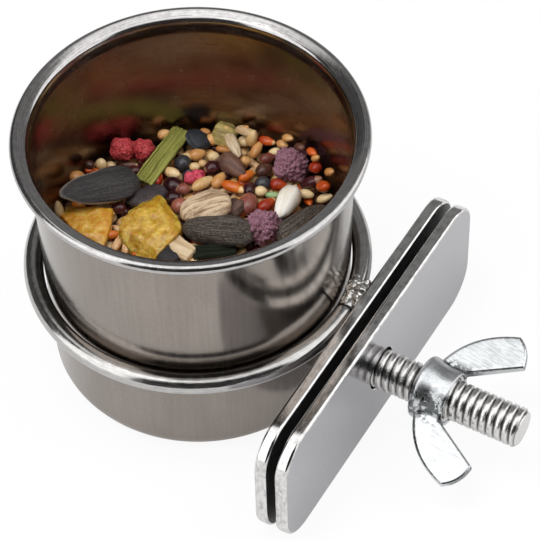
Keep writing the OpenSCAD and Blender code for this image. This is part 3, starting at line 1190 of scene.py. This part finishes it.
def fruit(low, high, size, depth, gloss):
    """Dried or candied fruit, darker in its folds."""
    def paint(sheet):
        folds = sheet.grain(size, 4.0, 0.65, own=True)
        threads = sheet.cells(sheet.place(size * 0.5, own=True), "SMOOTH_F1")
        shade = folds * 0.7 + threads * 0.3
        return {
            "Base Color": sheet.mix(shade.span(0.3, 0.62), low, high),
            "Roughness": folds.span(0.3, 0.7, gloss, gloss + 0.2),
            "height": shade,
            "depth": depth,
        }
    return paint


def candied(deep, clear, frost):
    """Candied fruit, clear in its body and frosted where it was cut."""
    def paint(sheet):
        body = sheet.grain(1.8, 3.0, 0.55, own=True)
        fibres = sheet.grain((0.7, 3.4, 0.7), 2.0, 0.5, own=True)
        sugar = sheet.grain(0.4, 4.0, 0.7, own=True)
        colour = sheet.mix((body * 0.6 + fibres * 0.4).span(0.32, 0.66), deep, clear)
        frosted = (sugar * 0.35 + body * 0.65).span(0.48, 0.66)
        return {
            "Base Color": sheet.mix(frosted * 0.5, colour, frost),
            "Roughness": sugar.span(0.3, 0.7, 0.2, 0.42),
            "height": fibres * 0.5 + sugar * 0.5,
            "depth": 0.22,
        }
    return paint


def mass_of_seeds(sheet):
    """Blurred seeds for the mass below the ones in view, with painted shade in the gaps between them."""
    seeds = sheet.cells(sheet.place(2.2))
    kinds = sheet.grain(2.6, 1.0)
    colour = kinds.ramp((0.3, (0.05, 0.02, 0.012)), (0.45, (0.30, 0.16, 0.07)),
                        (0.55, (0.14, 0.04, 0.015)), (0.7, (0.42, 0.28, 0.14)))
    return {
        # Painted shade: the colour goes nearly black towards the edges of each painted seed
        "Base Color": sheet.mix(seeds.span(0.3, 0.7), colour, (0.02, 0.012, 0.008)),
        "Roughness": seeds.span(0.0, 0.7, 0.45, 0.7),
        "height": 1.0 - seeds,
        "depth": 0.8,
    }


# Each kind of small seed: its finish, its taper, and its size when it fills the bed
SMALL_KINDS = {
    "cream_millet": (coat((0.58, 0.34, 0.13), (0.84, 0.65, 0.36), gloss=0.24), 0.2, (2.3, 1.9, 1.7)),
    "tan_millet": (coat((0.44, 0.17, 0.04), (0.76, 0.43, 0.16), gloss=0.18), 0.4, (2.7, 2.1, 1.6)),
    "red_millet": (
        coat((0.30, 0.022, 0.006), (0.72, 0.13, 0.015), (0.86, 0.50, 0.22), 1.05, 0.10), 0.45, (2.8, 2.2, 1.7)),
    "maroon_sorghum": (
        coat((0.016, 0.003, 0.005), (0.06, 0.011, 0.013), (0.34, 0.17, 0.10), 1.1, 0.10), 0.1, (2.6, 2.5, 2.3)),
    "brown_vetch": (
        coat((0.05, 0.018, 0.012), (0.17, 0.065, 0.04), (0.45, 0.26, 0.14), 1.1, 0.14), 0.2, (2.6, 2.4, 2.2)),
    "oat_groats": (ridged((0.56, 0.27, 0.10), (0.86, 0.58, 0.30), 0.5, 0.1, 0.3), 0.4, (4.6, 1.7, 1.5)),
    "orange_seeds": (
        coat((0.56, 0.11, 0.012), (0.84, 0.30, 0.04), (0.9, 0.60, 0.28), 1.0, 0.14), 0.35, (2.7, 1.9, 1.6)),
    "dark_blue_seeds": (coat((0.010, 0.011, 0.015), (0.035, 0.035, 0.042), gloss=0.3), 0.0, (2.5, 2.3, 2.1)),
    "rosy_seeds": (coat((0.15, 0.035, 0.025), (0.36, 0.12, 0.08), gloss=0.24), 0.15, (3.2, 2.8, 2.4)),
    "green_bits": (coat((0.18, 0.32, 0.12), (0.42, 0.56, 0.30), gloss=0.45), 0.2, (2.0, 1.3, 1.2)),
}

DARK_HUSK = husk((0.016, 0.014, 0.014), (0.085, 0.075, 0.07), (0.09, 0.08, 0.075), 0.35)

# Larger seeds: name, finish, blunt end and tip in pixels, width and thickness, taper, lift, roll
LARGE_SEEDS = [
    ("striped_sunflower", husk((0.022, 0.020, 0.021), (0.075, 0.068, 0.068), (0.42, 0.37, 0.33), 0.35),
     (137, 180), (57, 195), 6.6, 2.8, 0.5, 2.4, -22),
    ("dark_sunflower_middle", husk((0.018, 0.014, 0.011), (0.15, 0.12, 0.10), (0.05, 0.04, 0.034), 0.22),
     (258, 234), (181, 228), 5.8, 4.4, 0.3, 1.9, -14),
    ("dark_sunflower_right", husk((0.018, 0.014, 0.011), (0.17, 0.135, 0.11), (0.08, 0.064, 0.052), 0.25),
     (280, 243), (327, 209), 5.8, 3.4, 0.35, 1.9, 24),
    ("dark_sunflower_front", husk((0.012, 0.011, 0.013), (0.06, 0.056, 0.06), (0.07, 0.065, 0.065), 0.4),
     (178, 264), (154, 243), 4.4, 2.4, 0.4, 0.9, 0),
    ("dark_sunflower_back", husk((0.010, 0.012, 0.016), (0.05, 0.055, 0.065), (0.08, 0.085, 0.095), 0.45),
     (207, 148), (189, 131), 4.2, 2.2, 0.2, 0.9, 15),
    ("brown_sunflower", husk((0.022, 0.016, 0.018), (0.085, 0.065, 0.068), (0.12, 0.09, 0.08), 0.4),
     (166, 190), (127, 203), 4.4, 2.4, 0.4, 0.9, 0),
    ("beige_hulled_seed", ridged((0.22, 0.12, 0.06), (0.72, 0.55, 0.37), 0.5, 0.35),
     (231, 200), (179, 214), 6.4, 4.2, 0.3, 2.0, 10),
    ("brown_shell", ridged((0.04, 0.022, 0.016), (0.14, 0.08, 0.06), 0.5, 0.3),
     (241, 202), (226, 216), 3.6, 2.6, 0.2, 1.1, 0),
    ("buckwheat", ridged((0.05, 0.022, 0.016), (0.17, 0.085, 0.06), 0.9, 0.2, 0.25),
     (220, 157), (245, 175), 3.9, 3.0, 0.5, 1.2, 25),
    ("white_safflower", ridged((0.76, 0.68, 0.54), (0.92, 0.89, 0.82), 0.8, 0.1, 0.22),
     (294, 188), (278, 219), 4.2, 3.2, 0.55, 1.8, 0),
    ("green_hull", ridged((0.17, 0.12, 0.03), (0.46, 0.37, 0.13), 0.6, 0.2, 0.35),
     (213, 131), (237, 138), 4.4, 2.6, 0.2, 1.2, 20),
    ("pale_grain", ridged((0.42, 0.28, 0.15), (0.72, 0.58, 0.40), 0.5, 0.15, 0.4),
     (228, 134), (239, 156), 2.2, 1.8, 0.4, 2.0, 0),
    ("tan_husk", ridged((0.42, 0.26, 0.12), (0.68, 0.48, 0.28), 0.5, 0.15, 0.45),
     (236, 128), (258, 136), 1.8, 1.4, 0.2, 1.2, 0),
]

# Dried fruit: name, finish, pixel and radius of each ball, and roughness of the skin
RED_FRUIT = fruit((0.24, 0.010, 0.014), (0.66, 0.085, 0.095), 0.4, 0.25, 0.3)
PINK_FRUIT = fruit((0.36, 0.02, 0.05), (0.70, 0.10, 0.15), 0.5, 0.3, 0.35)
PURPLE_FRUIT = fruit((0.10, 0.02, 0.036), (0.46, 0.24, 0.31), 0.24, 0.3, 0.45)
CRUMBS = [
    ("red_fruit", RED_FRUIT, [(121.5, 149, 1.85), (143.5, 150, 1.75), (132, 150, 1.4)], 0.35),
    ("pink_fruit", PINK_FRUIT, [(191, 178, 1.1), (198, 176.5, 1.1)], 0.3),
    ("purple_fruit", PURPLE_FRUIT, [(291.5, 164.5, 2.7), (264, 227, 2.5)], 0.8),
]

# Flat pieces: name, finish, outline in pixels, thickness, lift, how many faces are cut, and waviness
CANDIED = candied((0.38, 0.18, 0.005), (0.66, 0.41, 0.03), (0.80, 0.64, 0.24))
CANDIED_ORANGE = candied((0.56, 0.23, 0.006), (0.74, 0.40, 0.03), (0.86, 0.64, 0.24))
SHELL = ridged((0.46, 0.31, 0.16), (0.70, 0.55, 0.36), 1.2, 0.08, 0.35)
CHUNKS = [
    ("candied_chunk_right", CANDIED,
     [(131, 193), (149, 185), (165, 191), (170, 203), (178, 212), (182, 224), (174, 236), (166, 243),
      (153, 254), (138, 252), (127, 240), (118, 230), (122, 217), (127, 207)], 3.6, 3.0, 9, 0.24),
    ("candied_chunk_left", CANDIED_ORANGE,
     [(60, 214), (66, 203), (88, 206), (112, 204), (111, 222), (103, 244), (88, 240), (73, 230)],
     1.8, 2.4, 4, 0.2),
    ("pale_hull", SHELL,
     [(176, 231), (181, 236), (190, 243), (197, 248), (190, 255), (186, 260), (180, 257), (171, 250),
      (166, 240), (170, 234)], 1.0, 1.9, 0, 0.2),
]

# Stem and leaf: name, finish, ends in pixels, width, thickness, lift, hollow and ribs
STRIPS = [
    ("green_stem", ridged((0.085, 0.085, 0.012), (0.33, 0.33, 0.08), 0.22, 0.15, length=45),
     (142.5, 180), (182, 128), 3.2, 0.6, 2.3, -0.35, 4),
    ("dark_leaf", ridged((0.002, 0.003, 0.001), (0.008, 0.013, 0.005), 0.4, 0.2, 0.6),
     (193, 254), (236, 250), 2.6, 0.3, 1.2, 0.3, 2),
]


def make_mass():
    """The mass of seed below the ones in view."""
    shares = (1.0, 0.8, 0.6, 0.4, 0.2, 0.0)
    top = [(BED_R * share, bed_height(BED_R * share, 0) - MASS_DEPTH) for share in shares]
    shape = spun(BED_SECTION + top, MASS_STEPS, closed=False)
    bmesh.ops.subdivide_edges(shape, edges=shape.edges, cuts=1, use_grid_fill=True)
    for vert in shape.verts:
        if vert.co.z > MASS_TOP_Z and math.hypot(vert.co.x, vert.co.y) < BED_R - 0.5:
            vert.co.z += 0.5 * noise.noise(vert.co / 1.2)
    seed_piece("seed_mass", shape, mass_of_seeds)


def in_view(spot, front):
    """Whether the photograph shows this place above the row where the rim's front hides the bed."""
    _, up, forward = camera_axes()
    line = spot - CAMERA_PLACE
    return IMAGE_SIDE / 2 - FOCAL_PX * line.dot(up) / line.dot(forward) < front


def random_turn(dice, tilt):
    """A turn to any side, tilted a little."""
    turn = Matrix.Rotation(dice.uniform(0, math.tau), 4, "Z")
    for axis in "YX":
        turn = turn @ Matrix.Rotation(dice.uniform(-tilt, tilt), 4, axis)
    return turn


def lay_small_seeds(shapes, dice):
    """The small seeds that the photograph shows."""
    for kind, x, y, length, width, direction in SMALL_SEEDS:
        way = math.radians(direction)
        aside, rise = length / 2 * math.cos(way), length / 2 * math.sin(way)
        wide = width * MM_PER_PX
        place, reach = laid((x - aside, y + rise), (x + aside, y - rise), 0.8, wide / 2 + 0.1)
        size = (min(reach, length * MM_PER_PX * 1.15), wide * 1.05, wide * 0.95)
        kernel(shapes[kind], place, size, SMALL_KINDS[kind][1], dice.random(), around=14, rings=10)


def fill_bed(shapes, dice):
    """Small seeds of all kinds between and below those that the photograph shows."""
    rows = int(BED_R / FILL_STEP) + 2
    kinds, shares = list(FILL_SHARES), list(FILL_SHARES.values())
    places = [(row, column) for row in range(-rows, rows) for column in range(-rows, rows)]
    for layer, lift in enumerate(FILL_LAYERS):
        for row, column in places:
            x = (column + row % 2 / 2 + dice.uniform(-0.3, 0.3)) * FILL_STEP * 1.1
            y = (row + dice.uniform(-0.3, 0.3)) * FILL_STEP
            kind = dice.choices(kinds, shares)[0]
            taper, size = SMALL_KINDS[kind][1:]
            scale, tone, turn = dice.uniform(0.85, 1.1), dice.random(), random_turn(dice, 0.5)
            spot = Vector((x, y, bed_height(x, y) + lift + dice.uniform(-0.35, 0.35)))
            if math.hypot(x, y) > BED_R - size[0] * scale / 2 - 0.05:
                continue
            if layer and (in_view(spot, RIM_FRONT_Y) or dice.random() < FILL_GAPS):
                continue
            sides = tuple(side * scale for side in size)
            kernel(shapes[kind], Matrix.Translation(spot) @ turn, sides, taper, tone)


def make_small_seeds():
    dice = random.Random(11)
    shapes = {kind: seed_shape() for kind in SMALL_KINDS}
    lay_small_seeds(shapes, dice)
    fill_bed(shapes, dice)
    for kind, shape in shapes.items():
        seed_piece(kind, shape, SMALL_KINDS[kind][0], 0.65)


def make_front_seeds():
    """Larger dark seeds at the front, where only the top and the sides show them."""
    dice = random.Random(23)
    shape = seed_shape()
    for number in range(FRONT_SEEDS):
        way = math.radians(dice.uniform(-150, 30))
        reach = dice.uniform(5, 17)
        spot = Vector((reach * math.cos(way), reach * math.sin(way), 0))
        spot.z = bed_height(spot.x, spot.y) + dice.uniform(0.7, 1.3)
        place = Matrix.Translation(spot) @ random_turn(dice, 0.35)
        scale = dice.uniform(0.85, 1.1)
        if not in_view(spot, RIM_COVER_Y):
            size = tuple(side * scale for side in FRONT_SIZE)
            kernel(shape, place, size, 0.4, number / 40, around=28, rings=20, ripple=0.1, blunt=2.4)
    seed_piece("dark_sunflower_rest", shape, DARK_HUSK)


def make_large_seeds():
    for number, (name, skin, start, end, width, thickness, taper, lift, roll) in enumerate(LARGE_SEEDS):
        shape = seed_shape()
        place, reach = laid(start, end, lift, room=1.2, roll=roll)
        size = (reach, width, thickness)
        kernel(shape, place, size, taper, number / 14, around=40, rings=32, ripple=0.12, blunt=2.6)
        seed_piece(name, shape, skin)


def make_fruit():
    for name, skin, balls, rough in CRUMBS:
        shape = seed_shape()
        for number, (x, y, radius) in enumerate(balls):
            spot = on_bed(x, y, radius * 0.8, radius)
            crumb(shape, Matrix.Translation(spot), radius, number / 5, rough)
        seed_piece(name, shape, skin)


def slab(outline, centre, thickness, lift):
    """A flat piece with its outline in pixels, and how far it reaches from its centre."""
    shape = bmesh.new()
    verts = []
    for x, y in outline:
        spot = on_bed(x, y, lift, 0.6)
        verts.append(shape.verts.new((spot.x - centre.x, spot.y - centre.y, (spot.z - centre.z) * 0.5)))
    reach = max(vert.co.length for vert in verts)
    raise_faces(shape, [shape.faces.new(verts)], (0, 0, -thickness))
    bmesh.ops.recalc_face_normals(shape, faces=shape.faces)
    return shape, reach


def cut_faces(shape, cuts, reach, dice):
    """Cuts sloping faces around the top of a piece."""
    for number in range(cuts):
        way = math.tau * (number + dice.uniform(-0.3, 0.3)) / cuts
        slope = math.radians(dice.uniform(18, 48))
        normal = Vector((math.sin(slope) * math.cos(way), math.sin(slope) * math.sin(way), math.cos(slope)))
        spot = Vector((math.cos(way), math.sin(way), 0)) * reach * dice.uniform(0.35, 0.7)
        cut(shape, spot, normal, clear=True)
        bmesh.ops.holes_fill(shape, edges=[edge for edge in shape.edges if edge.is_boundary], sides=0)


def make_chunks():
    dice = random.Random(7)
    candied_looks = {"Specular IOR Level": 0.8, **CLEAR}
    looks = {
        CANDIED: finish("candied_fruit", CANDIED, candied_looks),
        CANDIED_ORANGE: finish("candied_orange", CANDIED_ORANGE, candied_looks),
        SHELL: finish("pale_shell", SHELL, {"Specular IOR Level": 0.3}),
    }
    for name, skin, outline, thickness, lift, cuts, waves in CHUNKS:
        centre = on_bed(*(sum(part) / len(outline) for part in zip(*outline)), lift, 3.0)
        shape, reach = slab(outline, centre, thickness, lift)
        cut_faces(shape, cuts, reach, dice)
        shape = remeshed(shape, CHUNK_VOXEL)
        smooth(shape, 2)
        roughen(shape, 1.6, waves, thickness)
        roughen(shape, 0.5, waves * 0.4, thickness * 3)
        add_marks(shape)
        settle(shape, shape.verts[:], Matrix.Translation(centre), 0.5)
        finish_piece(name, shape, [looks[skin]], "cup")


def make_strips():
    """Flat pieces of stem and leaf with ribs along them."""
    for name, skin, start, end, width, thickness, lift, hollow, ribs in STRIPS:
        place, reach = laid(start, end, lift, room=0.8)
        shape = seed_shape()
        bmesh.ops.create_grid(shape, x_segments=40, y_segments=16, size=1)
        for vert in shape.verts:
            across = vert.co.y
            vert.co.x *= reach / 2 + 0.25 * noise.noise(Vector((across * 3, 7, 0)))
            vert.co.y *= width / 2 * (1 + 0.12 * noise.noise(Vector((vert.co.x * 0.5, 3, across))))
            vert.co.z = hollow * across * across + 0.09 * math.cos(across * ribs * math.pi)
            vert.co.z += 0.25 * noise.noise(Vector((vert.co.x * 0.4, across, 5)))
        bmesh.ops.solidify(shape, geom=shape.faces[:], thickness=thickness)
        bmesh.ops.recalc_face_normals(shape, faces=shape.faces)
        settle(shape, shape.verts[:], place, 0.5)
        seed_piece(name, shape, skin, 0.2)


# Studio

def camera_axes():
    """The camera's right, up and forward directions."""
    down, yaw, roll = CAMERA_DOWN, CAMERA_YAW, CAMERA_ROLL
    forward = Vector((math.cos(down) * math.sin(yaw), math.cos(down) * math.cos(yaw), -math.sin(down)))
    level = Vector((math.cos(yaw), -math.sin(yaw), 0))
    upward = level.cross(forward)
    right = math.cos(roll) * level + math.sin(roll) * upward
    up = -math.sin(roll) * level + math.cos(roll) * upward
    return right, up, forward


def make_camera():
    right, up, forward = camera_axes()
    data = bpy.data.cameras.new("camera")
    data.sensor_width = 36.0
    data.lens = FOCAL_PX / IMAGE_SIDE * data.sensor_width
    camera = bpy.data.objects.new("camera", data)
    bpy.context.scene.collection.objects.link(camera)
    turn = Matrix((right, up, -forward)).transposed().to_4x4()
    camera.matrix_world = Matrix.Translation(CAMERA_PLACE * MM) @ turn
    bpy.context.scene.camera = camera


def seen(sheet, directly, mirrored):
    """The first share for the camera's rays, the second for those of a gloss or a clear material."""
    outputs = sheet.add("ShaderNodeLightPath").socket.node.outputs
    rays = ("Is Camera Ray", "Is Glossy Ray", "Is Transmission Ray")
    camera, glossy, clear = (Value(sheet, outputs[ray]) for ray in rays)
    return camera.math("MAXIMUM", camera * directly, camera.math("MAXIMUM", glossy, clear) * mirrored)


def make_world():
    world = bpy.data.worlds.new("studio")
    world.use_nodes = True
    bpy.context.scene.world = world
    sheet = Sheet(world.node_tree, "ShaderNodeOutputWorld")
    strength = seen(sheet, 1.0, 1.0) * (1.0 - ROOM_LIGHT) + ROOM_LIGHT
    sheet.end(sheet.add("ShaderNodeBackground", None, {"Color": WHITE, "Strength": strength}))


def stage_object(name, shape, material):
    made = new_object(name, shape, [material])
    return made


def make_floor():
    material, sheet = new_material("white_table")
    paper = sheet.grain(0.6)
    tint = sheet.mix(paper, (0.86, 0.86, 0.86), (0.9, 0.9, 0.9))
    lit = sheet.add("ShaderNodeBsdfDiffuse", None, {"Color": tint})
    glow = {"Color": WHITE, "Strength": seen(sheet, 1.0, MIRRORED_WHITE)}
    white = sheet.add("ShaderNodeEmission", None, glow)
    share = seen(sheet, FLOOR_WHITE, FLOOR_MIRRORED)
    sheet.end(sheet.add("ShaderNodeMixShader", None, {0: share, 1: lit, 2: white}))
    shape = bmesh.new()
    bmesh.ops.create_circle(shape, segments=96, radius=FLOOR_R, cap_ends=True)
    move(shape, shape.verts, (0, 0, -FLOOR_DROP))
    stage_object("table", shape, material)


def screen(name, azimuths, elevations, brightness):
    """A curved screen around the object, seen only in reflections."""
    material, sheet = new_material(name)
    sheet.end(sheet.add("ShaderNodeEmission", None, {"Color": WHITE, "Strength": brightness}))
    shape = bmesh.new()
    add_line(shape, [(across, 0, rise) for across, rise in arc((0, 0), STUDIO_R, *elevations, 12)])
    rotate(shape, shape.verts, math.radians(azimuths[0]), "Z")
    sweep(shape, (0, 0, 1), math.radians(azimuths[1] - azimuths[0]), 32)
    made = stage_object(name, shape, material)
    made.visible_camera = False
    made.visible_diffuse = False
    made.visible_transmission = False
    made.visible_shadow = False


def lamp(name, azimuth, elevation, size, power, mirrored):
    data = bpy.data.lights.new(name, "AREA")
    data.shape = "SQUARE"
    data.size = size
    data.energy = power
    made = bpy.data.objects.new(name, data)
    bpy.context.scene.collection.objects.link(made)
    side, rise = math.radians(azimuth), math.radians(elevation)
    level = math.cos(rise)
    place = Vector((level * math.cos(side), level * math.sin(side), math.sin(rise))) * STUDIO_R
    made.matrix_world = Matrix.Translation(place) @ place.to_track_quat("Z", "Y").to_matrix().to_4x4()
    made.visible_camera = False
    made.visible_glossy = mirrored


WIRE = metal(wire_polish)
WELD = metal(weld_skin)
PLATE = metal(plate_polish)
PLATE_GAP_SHADE = metal(plate_gap_shade)
PLATE_EDGE = metal(plate_edge)
BOLT = metal(bolt_plating)
NUT = metal(nut_zinc)
NUT_EDGE_SHADE = metal(nut_edge_shade)

bpy.context.scene.view_settings.view_transform = "Standard"
make_camera()
make_world()
make_floor()
for row in SCREENS:
    screen(*row)
for row in LAMPS:
    lamp(*row)

make_cup()
make_ring()
make_ring_weld()
make_plates()
make_bolt()
make_bolt_welds()
make_nut_core()
make_wing_nut()

make_mass()
make_small_seeds()
make_large_seeds()
make_front_seeds()
make_fruit()
make_chunks()
make_strips()
